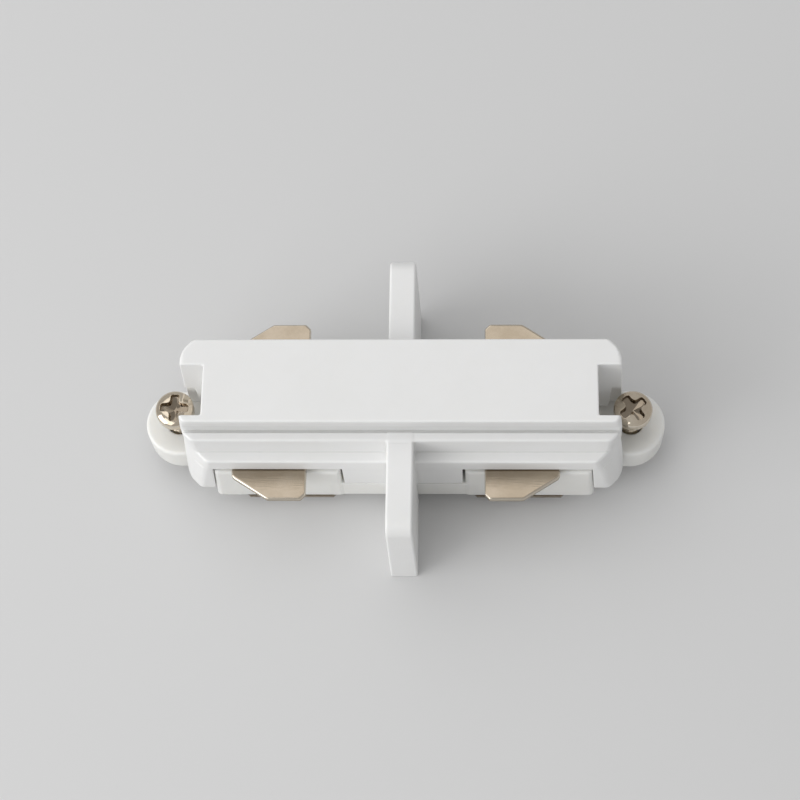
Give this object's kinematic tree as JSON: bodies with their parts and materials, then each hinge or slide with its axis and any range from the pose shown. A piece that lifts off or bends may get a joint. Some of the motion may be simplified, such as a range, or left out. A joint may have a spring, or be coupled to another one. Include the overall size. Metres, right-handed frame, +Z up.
{
  "type": "track light straight connector",
  "caption": "Straight connector for lighting track: stepped white body with a cross stop plate, side contacts and a clamp screw at each end.",
  "frame": {"origin": "middle of the cross plate's foot, at the lowest point of the part", "axes": "+X along the track, +Y across it, +Z up out of the track's mouth"},
  "size_m": [0.0638, 0.035, 0.0217],
  "materials": {
    "housing_plastic": "white moulded plastic, satin",
    "carrier_plastic": "milky white moulded plastic, satin",
    "nickel_plate": "warm nickel plate on stamped brass",
    "brass_bar": "plain stamped brass",
    "screw_nickel": "polished nickel plate, warm tone",
    "zinc_steel": "zinc-plated steel"
  },
  "bodies": {
    "body": {"housing": "housing_plastic", "contact_carrier": "carrier_plastic", "earth_plate": "nickel_plate", "bus_bar_front": "brass_bar", "bus_bar_rear": "brass_bar", "contact_front_left": "nickel_plate", "contact_front_right": "nickel_plate", "contact_rear_left": "nickel_plate", "contact_rear_right": "nickel_plate", "rivet_front_left": "brass_bar", "rivet_front_right": "brass_bar", "rivet_rear_left": "brass_bar", "rivet_rear_right": "brass_bar", "clamp_nut_left": "zinc_steel", "clamp_nut_right": "zinc_steel", "assembly_screw_1": "zinc_steel", "assembly_screw_2": "zinc_steel", "assembly_screw_3": "zinc_steel", "assembly_screw_4": "zinc_steel"},
    "left_clamp": {"clamp_screw_left": "screw_nickel"},
    "right_clamp": {"clamp_screw_right": "screw_nickel"}
  },
  "joints": [
    {"name": "left_clamp_travel", "type": "slide", "parent": "body", "child": "left_clamp", "axis": [0, 0, 1], "range_m": [-0.0015, 0.001]},
    {"name": "right_clamp_travel", "type": "slide", "parent": "body", "child": "right_clamp", "axis": [0, 0, 1], "range_m": [-0.0015, 0.001]}
  ]
}
